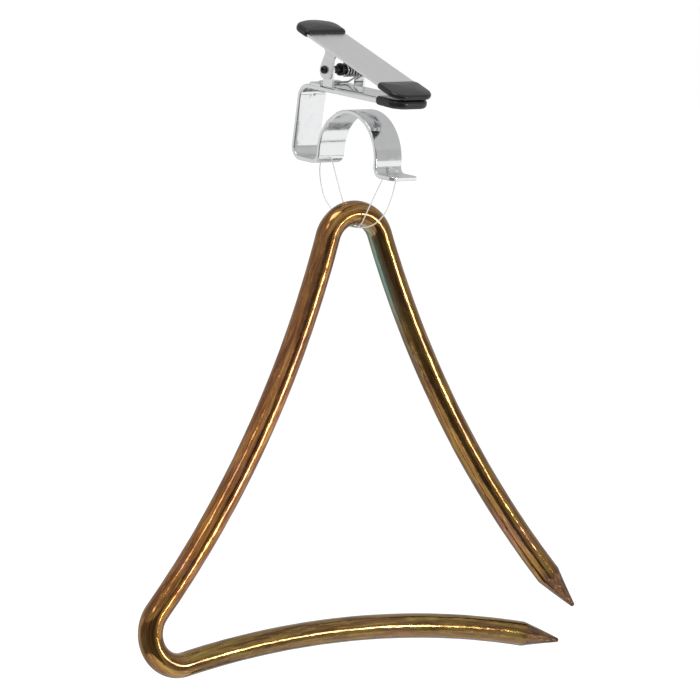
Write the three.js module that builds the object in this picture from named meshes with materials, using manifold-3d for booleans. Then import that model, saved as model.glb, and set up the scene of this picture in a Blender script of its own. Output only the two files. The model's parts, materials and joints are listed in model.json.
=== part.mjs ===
// Bronze triangle hung on two nylon loops from a sprung metal clip
// Millimetres, +Z up. The triangle hangs in the XZ plane and the origin is where the clip's jaws meet.

import * as THREE from 'three';
import { mergeVertices } from 'three/addons/utils/BufferGeometryUtils.js';
import Module from 'manifold-3d';

const wasm = await Module();
wasm.setup();

// The triangle: one round rod with inward-bowed sides, two bends and an open corner
const rodDiameter = 12;
const cornerSpacing = 206;
const cornerRadius = 15.8;
const sideRadius = 493;
const legOverrun = 18.5;
const coneLength = 22;
const tipDiameter = 2.4;

// How the triangle and the clip hang: the apex bend's place below the clip's pivot
const hangDrop = 84.2;
const hangAhead = 8.95;
const clipLean = 6.75;
const clipRoll = 1.75;
const clipTurn = -84.8;

// Clearances shared by all pieces
const seatGap = 0.3;
const slipGap = 0.25;
const overrun = 5;

// The hanger strap, bent from flat bar into a C and an arch
const strapThickness = 2;
const strapWidth = 16;
const strapHeight = 37.2;
const wallReach = 23.5;
const wallLean = 4.5;
const topBend = 7;
const bottomBend = 6.5;
const archRadius = 22.5;
const archAhead = 16.3;
const archLeg = 1.6;
const footBend = 3;
const footLength = 9;
const footCorner = 2;
const strapTopEnd = 4.4;
const mainHoleDiameter = 1.8;
const mainHoleAngle = 25;
const safetyHoleDiameter = 1.8;
const safetyHoleOffset = 6;
const wallHoleDiameter = 3;
const wallHoleDrop = 6.3;

// The fixed jaw, stamped from sheet with two ears and two side flanges
const sheet = 1.2;
const jawBelowPivot = 7.7;
const jawWidth = 20.5;
const jawRear = 14;
const jawLength = 54;
const jawCorner = 6;
const flangeDepth = 3;
const flangeTipDepth = 2.4;
const flangeTaper = 12;
const jawTipLength = 17.5;
const jawTipBend = 1.6;
const bendRadius = 1.8;
const earWidth = 7;
const earAhead = 1.1;
const notchWidth = 1.8;

// The lever, a flat plate with two ears outside the fixed jaw's
const leverRise = 10.4;
const leverOverhang = 0.4;
const thumbLength = 32;
const thumbCrown = 4;
const thumbCorner = 3;
const leverCorner = 6;
const leverEarWidth = 8.6;
const leverEarAhead = 0.7;
const leverEarTaper = 0.8;
const leverEarFillet = 2;

// Pivot: a hollow rivet with rolled ends, and the sleeve on it
const pinDiameter = 3.6;
const pinBore = 2.6;
const pinHeadDiameter = 5.4;
const pinHeadThickness = 0.7;
const pinMouth = 3.8;
const sleeveDiameter = 5.1;
const sleeveNearEnd = -4.3;

// Torsion spring round the sleeve
const wireDiameter = 0.9;
const coilPitch = 1.36;
const coilTurns = 4;
const springReach = 5.4;
const springFoot = 9;
const springUpperReach = 10;
const springUpperFoot = 7;
const springCornerRadius = 1.2;

// Vinyl caps on the jaws and on the thumb end
const capWall = 0.5;
const jawCapRise = 1.4;
const jawCapLength = 17.2;
const thumbCapRise = 2.4;
const thumbCapLength = 14.8;
const capRound = 1;

// Rivets between strap and fixed jaw
const rivetDiameter = 2.8;
const rivetHeadDiameter = 4.6;
const rivetHeadHeight = 0.9;
const rivetTailDiameter = 4.2;
const rivetTailHeight = 1.1;
const rivetBehindPivot = 9.4;
const rivetSpacing = 9;

// Nylon loops and their stopper knots
const lineDiameter = 0.6;
const knotDiameter = 2.6;

// Routes of the loops under the rod: along the jaws, along the rod, and height above the apex bend's centre
const mainRoute = [
  [-20.4, -0.1, 42.6], [-18.9, -0.1, 41.7], [-17.7, 0, 40.1], [-14.4, 0.1, 32.4], [-10.3, 0.3, 22.9],
  [-7.4, 0.5, 16.3], [-6.2, 0.6, 13.3], [-3.9, 0.6, 10.4], [0, 0.6, 9.15], [3.2, 0.6, 10],
  [5.4, 0.6, 11.9], [8.8, 0.4, 16.6], [14.4, 0.2, 24.4], [20.9, 0, 33.6], [22.9, -0.1, 36.4],
  [24.9, -0.1, 37.3],
];
const safetyRoute = [
  [-26.3, 0, 41.6], [-26.5, 0, 39.5], [-26.8, -0.1, 35], [-25.4, -0.2, 28.4], [-22.2, -0.4, 22.2],
  [-17, -0.5, 17.2], [-10.5, -0.6, 12.6], [-5.2, -0.6, 9.9], [0, -0.6, 9.1], [7, -0.6, 9],
  [13.8, -0.5, 10.3], [19.4, -0.4, 13.2], [24.3, -0.3, 18], [27.2, -0.2, 23.4], [29.1, -0.1, 28.4],
  [30, 0, 32], [30.3, 0, 34.9],
];

// Roundness of curved faces
const rodSides = 20;
const sideSteps = 16;
const bendSteps = 14;
const coneSteps = 4;
const drumSides = 24;
const lineSteps = 40;
const lineSides = 8;
const arcStep = 9;

const radians = THREE.MathUtils.degToRad;
const metal = { roughness: 0.16, metalness: 1 };

// Materials seen in the photograph
const bronze = () => new THREE.MeshStandardMaterial({ color: 0x8a5a26, roughness: 0.25, metalness: 1 });
const chrome = () => new THREE.MeshStandardMaterial({ color: 0xc9cacc, ...metal });
const satin = () => new THREE.MeshStandardMaterial({ color: 0xb8b8b9, roughness: 0.35, metalness: 1 });
const vinyl = () => new THREE.MeshStandardMaterial({ color: 0x17171a, roughness: 0.3, metalness: 0 });
const nylon = () => new THREE.MeshStandardMaterial({ color: 0xe6e3d8, roughness: 0.4, metalness: 0 });

// Solids and meshes
function toSolid(geometry) {
  const bare = geometry.index ? geometry.clone() : geometry;
  bare.deleteAttribute('normal');
  bare.deleteAttribute('uv');
  const merged = mergeVertices(bare);
  return new wasm.Manifold(new wasm.Mesh({
    numProp: 3,
    vertProperties: new Float32Array(merged.attributes.position.array),
    triVerts: new Uint32Array(merged.index.array),
  }));
}

function toGeometry(solid) {
  const { numProp, vertProperties, triVerts } = solid.getMesh();
  const geometry = new THREE.BufferGeometry();
  geometry.setAttribute('position', new THREE.BufferAttribute(new Float32Array(vertProperties), numProp));
  geometry.setIndex(new THREE.BufferAttribute(new Uint32Array(triVerts), 1));
  geometry.computeVertexNormals();
  return geometry;
}

function piece(name, shape, material) {
  const geometry = shape.isBufferGeometry ? shape : toGeometry(shape);
  const mesh = new THREE.Mesh(geometry, material);
  mesh.name = name;
  return mesh;
}

// Extrusions of an outline drawn in (x, z), in (y, z) or in (x, y)
function alongY(outline, from, to, options = {}) {
  const geometry = new THREE.ExtrudeGeometry(outline, { depth: to - from, bevelEnabled: false, ...options });
  geometry.rotateX(Math.PI / 2);
  geometry.translate(0, to, 0);
  return toSolid(geometry);
}

function alongX(outline, from, to) {
  const geometry = new THREE.ExtrudeGeometry(outline, { depth: to - from, bevelEnabled: false });
  const turn = new THREE.Matrix4().makeBasis(
    new THREE.Vector3(0, 1, 0),
    new THREE.Vector3(0, 0, 1),
    new THREE.Vector3(1, 0, 0),
  );
  geometry.applyMatrix4(turn);
  geometry.translate(from, 0, 0);
  return toSolid(geometry);
}

function alongZ(outline, from, to, round = 0) {
  const geometry = new THREE.ExtrudeGeometry(outline, {
    depth: to - from - 2 * round,
    bevelEnabled: round > 0,
    bevelSize: round,
    bevelOffset: -round,
    bevelThickness: round,
    bevelSegments: 3,
    curveSegments: 6,
  });
  geometry.translate(0, 0, from + round);
  return toSolid(geometry);
}

// A round cutter through a point, along a direction
function drill(diameter, centre, direction, length) {
  const geometry = new THREE.CylinderGeometry(diameter / 2, diameter / 2, length, drumSides);
  const up = new THREE.Vector3(0, 1, 0);
  geometry.applyQuaternion(new THREE.Quaternion().setFromUnitVectors(up, direction.clone().normalize()));
  geometry.translate(centre.x, centre.y, centre.z);
  return toSolid(geometry);
}

// A rectangle from (x0, y0) to (x1, y1) whose corners have their own radii, from the low corner anticlockwise
function roundedRectangle(x0, y0, x1, y1, radii) {
  const [a, b, c, d] = radii;
  const shape = new THREE.Shape();
  shape.moveTo(x0 + a, y0);
  shape.lineTo(x1 - b, y0);
  if (b) shape.absarc(x1 - b, y0 + b, b, -Math.PI / 2, 0);
  shape.lineTo(x1, y1 - c);
  if (c) shape.absarc(x1 - c, y1 - c, c, 0, Math.PI / 2);
  shape.lineTo(x0 + d, y1);
  if (d) shape.absarc(x0 + d, y1 - d, d, Math.PI / 2, Math.PI);
  shape.lineTo(x0, y0 + a);
  if (a) shape.absarc(x0 + a, y0 + a, a, Math.PI, 1.5 * Math.PI);
  return shape;
}

// A tube of changing radius swept through points, with flat ends
function sweep(points, radii, sides) {
  const positions = [];
  const indices = [];
  const tangents = points.map((_, i) => {
    const before = points[Math.max(i - 1, 0)];
    const after = points[Math.min(i + 1, points.length - 1)];
    return after.clone().sub(before).normalize();
  });
  const steep = Math.abs(tangents[0].y) > Math.SQRT1_2;
  const across = new THREE.Vector3(steep ? 1 : 0, steep ? 0 : 1, 0);
  const normal = across.sub(tangents[0].clone().multiplyScalar(across.dot(tangents[0]))).normalize();
  points.forEach((point, i) => {
    if (i > 0) {
      const turn = new THREE.Quaternion().setFromUnitVectors(tangents[i - 1], tangents[i]);
      normal.applyQuaternion(turn);
    }
    const binormal = tangents[i].clone().cross(normal);
    for (let k = 0; k < sides; k += 1) {
      const angle = (2 * Math.PI * k) / sides;
      const spot = point.clone();
      spot.addScaledVector(normal, radii[i] * Math.cos(angle));
      spot.addScaledVector(binormal, radii[i] * Math.sin(angle));
      positions.push(spot.x, spot.y, spot.z);
    }
  });
  const last = points.length - 1;
  const ends = [points[0], points[last]];
  ends.forEach((end) => positions.push(end.x, end.y, end.z));
  for (let k = 0; k < sides; k += 1) {
    const next = (k + 1) % sides;
    for (let i = 0; i < last; i += 1) {
      const low = i * sides;
      const high = low + sides;
      indices.push(low + k, low + next, high + next);
      indices.push(low + k, high + next, high + k);
    }
    indices.push(points.length * sides, next, k);
    indices.push(points.length * sides + 1, last * sides + k, last * sides + next);
  }
  const geometry = new THREE.BufferGeometry();
  geometry.setAttribute('position', new THREE.BufferAttribute(new Float32Array(positions), 3));
  geometry.setIndex(indices);
  geometry.computeVertexNormals();
  return geometry;
}

// Triangle rod: centre line in the XZ plane about the apex bend's centre, from the right leg's tip
function arcPoints(centre, radius, from, turn, steps) {
  const points = [];
  for (let i = 0; i <= steps; i += 1) {
    const angle = from + (turn * i) / steps;
    const spoke = new THREE.Vector3(radius * Math.cos(angle), 0, radius * Math.sin(angle));
    points.push(spoke.add(centre));
  }
  return points;
}

function triangleRod() {
  const apex = new THREE.Vector3(0, 0, 0);
  const depth = cornerSpacing * Math.sin(Math.PI / 3);
  const left = new THREE.Vector3(-cornerSpacing / 2, 0, -depth);
  const right = new THREE.Vector3(cornerSpacing / 2, 0, -depth);
  const middle = new THREE.Vector3(0, 0, (-2 * depth) / 3);
  const reach = sideRadius + cornerRadius;
  const bow = Math.sqrt(reach * reach - (cornerSpacing * cornerSpacing) / 4);

  // One bowed side between two corner centres: its own centre lies outside the triangle
  const side = (start, end) => {
    const half = start.clone().add(end).divideScalar(2);
    const outward = half.clone().sub(middle).normalize();
    const centre = half.clone().addScaledVector(outward, bow);
    const from = Math.atan2(start.z - centre.z, start.x - centre.x);
    const to = Math.atan2(end.z - centre.z, end.x - centre.x);
    const turn = Math.atan2(Math.sin(to - from), Math.cos(to - from));
    return { centre, from, turn };
  };
  const bend = (centre, before, after) => {
    const from = Math.atan2(before.z - centre.z, before.x - centre.x);
    const to = Math.atan2(after.z - centre.z, after.x - centre.x);
    const full = 2 * Math.PI;
    return arcPoints(centre, cornerRadius, from, (to - from + full) % full, bendSteps);
  };

  const sides = [side(right, apex), side(apex, left), side(left, right)];
  const extra = Math.sign(sides[0].turn) * (legOverrun / sideRadius);
  sides[0].from -= extra;
  sides[0].turn += extra;
  sides[2].turn += extra;
  const bars = sides.map((run) => arcPoints(run.centre, sideRadius, run.from, run.turn, sideSteps));
  const corners = [apex, left].map((centre, i) => bend(centre, bars[i][sideSteps], bars[i + 1][0]));
  const line = [bars[0], corners[0].slice(1), bars[1].slice(1), corners[1].slice(1), bars[2].slice(1)].flat();

  // Both ends are turned down to long cones with rounded tips
  const lengths = [0];
  line.slice(1).forEach((point, i) => lengths.push(lengths[i] + point.distanceTo(line[i])));
  const total = lengths[lengths.length - 1];
  const at = (distance) => {
    const i = Math.max(1, lengths.findIndex((length) => length >= distance));
    const share = (distance - lengths[i - 1]) / (lengths[i] - lengths[i - 1]);
    return line[i - 1].clone().lerp(line[i], share);
  };
  const tipRadius = tipDiameter / 2;
  const stations = [];
  for (let i = 0; i <= coneSteps; i += 1) {
    const angle = (Math.PI / 2) * (i / coneSteps);
    const tipShare = 0.25 + (0.75 * i) / coneSteps;
    stations.push({ distance: tipRadius * (1 - Math.cos(angle)), radius: tipRadius * tipShare });
  }
  for (let i = 1; i <= coneSteps; i += 1) {
    const share = i / coneSteps;
    const radius = tipRadius + (rodDiameter / 2 - tipRadius) * share;
    stations.push({ distance: tipRadius + (coneLength - tipRadius) * share, radius });
  }
  const inner = lengths.filter((length) => length > coneLength && length < total - coneLength);
  const places = [
    ...stations,
    ...inner.map((distance) => ({ distance, radius: rodDiameter / 2 })),
    ...stations.map(({ distance, radius }) => ({ distance: total - distance, radius })).reverse(),
  ];
  const points = places.map(({ distance }) => at(distance));
  const radii = places.map(({ radius }) => radius);

  // The rod hangs with its centre of mass below the apex bend's centre
  let mass = 0;
  const balance = new THREE.Vector3();
  points.slice(1).forEach((point, i) => {
    const section = (radii[i] * radii[i] + radii[i] * radii[i + 1] + radii[i + 1] * radii[i + 1]) / 3;
    const weight = section * point.distanceTo(points[i]);
    balance.addScaledVector(point.clone().add(points[i]).divideScalar(2), weight);
    mass += weight;
  });
  balance.divideScalar(mass);
  const hangAngle = Math.atan2(-balance.x, -balance.z);
  return { geometry: sweep(points, radii, rodSides), hangAngle };
}

// Strap: a flat bar's middle line walked as straight runs and bends, then given its thickness
function walkStrip(start, heading, moves) {
  const places = [{ x: start.x, z: start.z, angle: heading }];
  moves.forEach(({ run, turn, radius }) => {
    const here = places[places.length - 1];
    if (run !== undefined) {
      const x = here.x + run * Math.cos(here.angle);
      const z = here.z + run * Math.sin(here.angle);
      places.push({ x, z, angle: here.angle });
      return;
    }
    const steps = Math.ceil(Math.abs(turn) / arcStep);
    const way = Math.sign(turn);
    const centre = {
      x: here.x - way * radius * Math.sin(here.angle),
      z: here.z + way * radius * Math.cos(here.angle),
    };
    for (let i = 1; i <= steps; i += 1) {
      const angle = here.angle + (radians(turn) * i) / steps;
      const x = centre.x + way * radius * Math.sin(angle);
      const z = centre.z - way * radius * Math.cos(angle);
      places.push({ x, z, angle });
    }
  });
  return places;
}

function stripOutline(places, thickness) {
  const offset = (place, distance) => new THREE.Vector2(
    place.x - distance * Math.sin(place.angle),
    place.z + distance * Math.cos(place.angle),
  );
  const left = places.map((place) => offset(place, thickness / 2));
  const right = places.map((place) => offset(place, -thickness / 2)).reverse();
  return new THREE.Shape([...left, ...right]);
}

const strapHalf = strapThickness / 2;
const strapTop = -jawBelowPivot - sheet - seatGap;
const topMiddle = strapTop - strapHalf;
const bottomMiddle = strapTop - strapHeight + strapHalf;
const archMiddle = archRadius - strapHalf;
const footMiddle = footBend + strapHalf;
const footCentre = bottomMiddle + footMiddle;
const archCentre = footCentre + archLeg;
const rearFootCentre = archAhead - archMiddle - footMiddle;
const frontFootCentre = archAhead + archMiddle + footMiddle;
const rivetSpots = [-rivetSpacing / 2, rivetSpacing / 2];

function hangerStrap() {
  const topRadius = topBend - strapHalf;
  const bottomRadius = bottomBend - strapHalf;
  const lean = radians(wallLean);
  const topStart = -wallReach + topBend;
  const bends = topRadius * (1 - Math.sin(lean)) + bottomRadius * (1 + Math.sin(lean));
  const wall = (topMiddle - bottomMiddle - bends) / Math.cos(lean);
  const bottomStart = topStart + (bottomRadius - topRadius) * Math.cos(lean) - wall * Math.sin(lean);
  const places = walkStrip({ x: strapTopEnd, z: topMiddle }, Math.PI, [
    { run: strapTopEnd - topStart },
    { turn: 90 - wallLean, radius: topRadius },
    { run: wall },
    { turn: 90 + wallLean, radius: bottomRadius },
    { run: rearFootCentre - bottomStart },
    { turn: 90, radius: footMiddle },
    { run: archLeg },
    { turn: -180, radius: archMiddle },
    { run: archLeg },
    { turn: 90, radius: footMiddle },
    { run: footLength },
  ]);
  let strap = alongY(stripOutline(places, strapThickness), -strapWidth / 2, strapWidth / 2);

  // The foot's free corners are rounded
  const footEnd = frontFootCentre + footLength;
  const plan = roundedRectangle(
    -wallReach - overrun,
    -strapWidth / 2,
    footEnd,
    strapWidth / 2,
    [0, footCorner, footCorner, 0],
  );
  strap = strap.intersect(alongZ(plan, bottomMiddle - overrun, strapTop + overrun));

  // Holes for the two loops, the hole high in the wall, and the rivets' holes
  const holes = [];
  const slant = radians(mainHoleAngle);
  [[rearFootCentre, 1], [frontFootCentre, -1]].forEach(([centre, way]) => {
    const direction = new THREE.Vector3(way * Math.cos(slant), 0, -Math.sin(slant));
    const spot = new THREE.Vector3(centre, 0, footCentre).addScaledVector(direction, footMiddle);
    holes.push(drill(mainHoleDiameter, spot, direction, 2 * footBend));
    const safety = new THREE.Vector3(centre - way * (safetyHoleOffset - footBend), 0, bottomMiddle);
    holes.push(drill(safetyHoleDiameter, safety, new THREE.Vector3(0, 0, 1), overrun));
  });
  const wallSpot = new THREE.Vector3(-wallReach, 0, strapTop - wallHoleDrop);
  holes.push(drill(wallHoleDiameter, wallSpot, new THREE.Vector3(1, 0, 0), 2 * overrun));
  rivetSpots.forEach((y) => {
    const spot = new THREE.Vector3(-rivetBehindPivot, y, topMiddle);
    holes.push(drill(rivetDiameter + 2 * slipGap, spot, new THREE.Vector3(0, 0, 1), overrun));
  });
  holes.forEach((hole) => {
    strap = strap.subtract(hole);
  });
  return strap;
}

// Fixed jaw: plate, rounded channel flanges below it and two ears above it
const jawTop = -jawBelowPivot;
const jawHalf = jawWidth / 2;
const earStart = earAhead - earWidth / 2;
const earEnd = earAhead + earWidth / 2;

// Half sections of the sheet turned up or down at both sides, drawn in (y, z)
function channel(depth, way) {
  const web = jawTop - sheet / 2;
  const side = (shape, half, radius, face) => {
    const edge = web + way * face;
    shape.lineTo(half, edge + way * (depth - sheet / 2 - face));
    shape.lineTo(half, edge + way * radius);
    shape.quadraticCurveTo(half, edge, half - radius, edge);
    shape.lineTo(-half + radius, edge);
    shape.quadraticCurveTo(-half, edge, -half, edge + way * radius);
    shape.lineTo(-half, edge + way * (depth - sheet / 2 - face));
  };
  const outer = new THREE.Path();
  outer.moveTo(jawHalf, web + way * (depth - sheet / 2));
  side(outer, jawHalf, bendRadius, -sheet / 2);
  const inner = new THREE.Path();
  inner.moveTo(jawHalf - sheet, web + way * (depth - sheet / 2));
  side(inner, jawHalf - sheet, bendRadius - sheet, sheet / 2);
  return new THREE.Shape([...outer.getPoints(4), ...inner.getPoints(4).reverse()]);
}

// The jaw's last part, under the cap, is set down a little about its top face
const tipStart = jawLength - jawTipLength;
const setDown = (solid) => solid
  .translate([-tipStart, 0, -jawTop])
  .rotate([0, jawTipBend, 0])
  .translate([tipStart, 0, jawTop]);

function fixedJaw() {
  const innerHalf = jawHalf - bendRadius;
  const rearEnd = earStart - notchWidth;
  const rear = roundedRectangle(-jawRear, -jawHalf, rearEnd, jawHalf, [jawCorner / 2, 0, 0, jawCorner / 2]);
  const spine = roundedRectangle(-jawRear / 2, -innerHalf, jawLength, innerHalf, [0, 0, 0, 0]);
  let jaw = alongZ(rear, jawTop - sheet, jawTop).add(alongZ(spine, jawTop - sheet, jawTop));

  // Side flanges taper towards the tip
  const flangeStart = earEnd + notchWidth;
  const flangeSide = new THREE.Shape([
    new THREE.Vector2(flangeStart, jawTop + overrun),
    new THREE.Vector2(flangeStart, jawTop - flangeDepth),
    new THREE.Vector2(jawLength - flangeTaper, jawTop - flangeDepth),
    new THREE.Vector2(jawLength, jawTop - flangeTipDepth),
    new THREE.Vector2(jawLength, jawTop + overrun),
  ]);
  const flanges = alongX(channel(flangeDepth, -1), flangeStart, jawLength);
  jaw = jaw.add(flanges.intersect(alongY(flangeSide, -jawHalf, jawHalf)));
  const corners = [jawCorner / 2, jawCorner, jawCorner, jawCorner / 2];
  const plan = roundedRectangle(-jawRear, -jawHalf, jawLength, jawHalf, corners);
  jaw = jaw.intersect(alongZ(plan, jawTop - flangeDepth - overrun, jawTop + overrun));

  // Ears stand at both sides with round tops ahead of the pivot's hole
  const earHeight = jawBelowPivot + earWidth / 2;
  const earSide = new THREE.Shape();
  earSide.moveTo(earStart, jawTop - sheet);
  earSide.lineTo(earEnd, jawTop - sheet);
  earSide.lineTo(earEnd, 0);
  earSide.absarc(earAhead, 0, earWidth / 2, 0, Math.PI);
  earSide.lineTo(earStart, jawTop - sheet);
  const ears = alongX(channel(earHeight + sheet, 1), earStart, earEnd);
  jaw = jaw.add(ears.intersect(alongY(earSide, -jawHalf, jawHalf)));
  const pinHole = drill(
    pinDiameter + 2 * slipGap,
    new THREE.Vector3(0, 0, 0),
    new THREE.Vector3(0, 1, 0),
    jawWidth + overrun,
  );
  jaw = jaw.subtract(pinHole);
  rivetSpots.forEach((y) => {
    const spot = new THREE.Vector3(-rivetBehindPivot, y, jawTop);
    jaw = jaw.subtract(drill(rivetDiameter + 2 * slipGap, spot, new THREE.Vector3(0, 0, 1), overrun));
  });
  const tipPlan = roundedRectangle(tipStart, -jawWidth, jawLength + overrun, jawWidth, [0, 0, 0, 0]);
  const tipRoom = alongZ(tipPlan, jawTop - flangeDepth - overrun, jawTop + overrun);
  return jaw.subtract(tipRoom).add(setDown(jaw.intersect(tipRoom)));
}

// Lever, in its own frame: the plate is level and the pivot is at the origin
const leverHalf = jawHalf + slipGap + sheet;
const leverLength = jawLength + leverOverhang;
const leverUnder = leverRise - sheet;

function leverOutline(grow) {
  const half = leverHalf + grow;
  const crown = thumbCrown;
  const corner = thumbCorner;
  const rear = -thumbLength - grow;
  const shape = new THREE.Shape();
  shape.moveTo(rear + crown + corner, -half);
  shape.lineTo(leverLength + grow - leverCorner, -half);
  shape.absarc(leverLength + grow - leverCorner, -half + leverCorner, leverCorner, -Math.PI / 2, 0);
  shape.absarc(leverLength + grow - leverCorner, half - leverCorner, leverCorner, 0, Math.PI / 2);
  shape.lineTo(rear + crown + corner, half);
  shape.quadraticCurveTo(rear + crown, half, rear + crown, half - corner);
  shape.quadraticCurveTo(rear, half / 2, rear, 0);
  shape.quadraticCurveTo(rear, -half / 2, rear + crown, -half + corner);
  shape.quadraticCurveTo(rear + crown, -half, rear + crown + corner, -half);
  return shape;
}

function leverPlate() {
  let lever = alongZ(leverOutline(0), leverUnder, leverRise);
  const low = leverEarAhead - leverEarWidth / 2;
  const high = leverEarAhead + leverEarWidth / 2;
  const ear = new THREE.Shape();
  const left = low + leverEarTaper;
  const right = high - leverEarTaper;
  ear.moveTo(left - leverEarFillet, leverRise);
  ear.lineTo(left - leverEarFillet, leverUnder);
  ear.quadraticCurveTo(left, leverUnder, left, leverUnder - leverEarFillet);
  ear.lineTo(low, 0);
  ear.absarc(leverEarAhead, 0, leverEarWidth / 2, Math.PI, 2 * Math.PI);
  ear.lineTo(right, leverUnder - leverEarFillet);
  ear.quadraticCurveTo(right, leverUnder, right + leverEarFillet, leverUnder);
  ear.lineTo(right + leverEarFillet, leverRise);
  [[-leverHalf, -leverHalf + sheet], [leverHalf - sheet, leverHalf]].forEach(([from, to]) => {
    lever = lever.add(alongY(ear, from, to));
  });
  const origin = new THREE.Vector3(0, 0, 0);
  return lever.subtract(drill(pinDiameter + 2 * slipGap, origin, new THREE.Vector3(0, 1, 0), 3 * jawWidth));
}

// Caps: rounded sheaths with a pocket for the plate's end, thicker above the lever than below it
function leverCap(from, to, rise) {
  const grow = slipGap + capWall;
  const body = alongZ(leverOutline(grow), leverUnder - grow, leverRise + rise, capRound);
  const keep = roundedRectangle(from, -leverHalf - overrun, to, leverHalf + overrun, [0, 0, 0, 0]);
  const pocket = alongZ(leverOutline(slipGap), leverUnder - slipGap, leverRise + slipGap);
  return body.intersect(alongZ(keep, leverUnder - overrun, leverRise + overrun)).subtract(pocket);
}

const capFar = leverLength + slipGap + capWall + overrun;
const thumbFar = thumbLength + slipGap + capWall + overrun;
const jawCapStart = leverLength + slipGap + capWall - jawCapLength;
const thumbCapEnd = -thumbLength - slipGap - capWall + thumbCapLength;

function fixedJawCap() {
  const grow = slipGap + capWall;
  const start = jawLength + grow - jawCapLength;
  const corner = jawCorner + grow;
  const mouth = 2 * capRound;
  const taperShare = (jawLength - start) / flangeTaper;
  const deepest = Math.min(flangeDepth, flangeTipDepth + (flangeDepth - flangeTipDepth) * taperShare);
  const plan = roundedRectangle(
    start,
    -jawHalf - grow,
    jawLength + grow,
    jawHalf + grow,
    [mouth, corner, corner, mouth],
  );
  const body = alongZ(plan, jawTop - deepest - grow, jawTop + grow, capRound);
  const pocket = roundedRectangle(
    start - overrun,
    -jawHalf - slipGap,
    jawLength + slipGap,
    jawHalf + slipGap,
    [0, jawCorner, jawCorner, 0],
  );
  return setDown(body.subtract(alongZ(pocket, jawTop - deepest - slipGap, jawTop + slipGap)));
}

// Closing angle: the lever's cap comes down on the tip of the fixed jaw's cap
const capUnder = leverUnder - slipGap - capWall;
const edgeAlong = jawTipLength + slipGap + capWall - capRound;
const edgeRise = slipGap + capWall;
const dip = radians(jawTipBend);
const meetAlong = tipStart + edgeAlong * Math.cos(dip) + edgeRise * Math.sin(dip);
const meetHeight = jawTop - edgeAlong * Math.sin(dip) + edgeRise * Math.cos(dip);
const meetReach = Math.hypot(meetAlong, meetHeight);
const closing = Math.asin((capUnder - seatGap) / meetReach) - Math.atan2(meetHeight, meetAlong);

// Pivot: turned pieces about the Y axis
function turned(profile, sides = drumSides) {
  const points = profile.map(([radius, along]) => new THREE.Vector2(radius, along));
  return toSolid(new THREE.LatheGeometry(points, sides));
}

function pivotPin() {
  const shank = leverHalf + slipGap;
  const end = shank + pinHeadThickness;
  const profile = [];
  [[-1, 1], [1, -1]].forEach(([way]) => {
    const rim = [
      [pinDiameter / 2, way * shank],
      [pinHeadDiameter / 2, way * shank],
      [(pinHeadDiameter + pinMouth) / 4, way * end],
      [pinMouth / 2, way * (end - pinHeadThickness / 4)],
      [pinBore / 2, way * (shank - pinHeadThickness)],
    ];
    profile.push(...(way > 0 ? rim : rim.reverse()));
  });
  const closed = [...profile, profile[0]];
  return turned(closed);
}

function pivotSleeve() {
  const inner = pinDiameter / 2 + slipGap;
  const outer = sleeveDiameter / 2;
  const end = jawHalf - sheet - seatGap;
  const start = sleeveNearEnd;
  return turned([[inner, start], [outer, start], [outer, end], [inner, end], [inner, start]]);
}

// Torsion spring: one wire from a foot on the fixed jaw, through the coil, to a foot under the lever
function torsionSpring() {
  const radius = sleeveDiameter / 2 + slipGap + wireDiameter / 2;
  const end = jawHalf - sheet - seatGap - wireDiameter;
  const lower = new THREE.Vector2(-springReach, jawTop + seatGap + wireDiameter / 2);
  const underLever = new THREE.Vector2(-springUpperReach, leverUnder - seatGap - wireDiameter / 2);
  const upper = underLever.clone().rotateAround(new THREE.Vector2(0, 0), -closing);
  const tangentAngle = (spot, way) => spot.angle() + way * Math.acos(radius / spot.length());
  const first = tangentAngle(lower, 1);
  let lastAngle = tangentAngle(upper, -1);
  while (lastAngle < first) lastAngle += 2 * Math.PI;
  const sweepAngle = lastAngle - first + 2 * Math.PI * coilTurns;
  const rise = (coilPitch * sweepAngle) / (2 * Math.PI);
  const stepsPerTurn = 8;
  const steps = Math.round((sweepAngle / (2 * Math.PI)) * stepsPerTurn);
  const coil = [];
  for (let i = 0; i <= steps; i += 1) {
    const angle = first + (sweepAngle * i) / steps;
    const y = end - (rise * i) / steps;
    coil.push(new THREE.Vector3(radius * Math.cos(angle), y, radius * Math.sin(angle)));
  }
  const leg = (spot, y, foot, way) => {
    const corner = new THREE.Vector3(spot.x, y, spot.y);
    const tip = corner.clone().setY(y + way * foot);
    const into = corner.clone().setY(y + way * springCornerRadius);
    return { corner, tip, into };
  };
  const low = leg(lower, end, springFoot, -1);
  const high = leg(upper, end - rise, springUpperFoot, -1);
  const rounded = ({ corner, tip, into }, joint) => {
    const away = joint.clone().sub(corner).setLength(springCornerRadius).add(corner);
    const curve = new THREE.QuadraticBezierCurve3(into, corner, away);
    return [tip, ...curve.getPoints(3)];
  };
  const points = [...rounded(low, coil[0]), ...coil, ...rounded(high, coil[coil.length - 1]).reverse()];
  const radii = points.map(() => wireDiameter / 2);

  // Least gap of the wire to itself, between places more than half a turn apart
  let least = Infinity;
  for (let i = 0; i < points.length; i += 1) {
    for (let k = i + stepsPerTurn / 2; k < points.length; k += 1) {
      least = Math.min(least, points[i].distanceTo(points[k]) - wireDiameter);
    }
  }
  console.log(`torsion spring, least gap to itself: ${least.toFixed(2)} mm`);
  return sweep(points, radii, 5);
}

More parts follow.
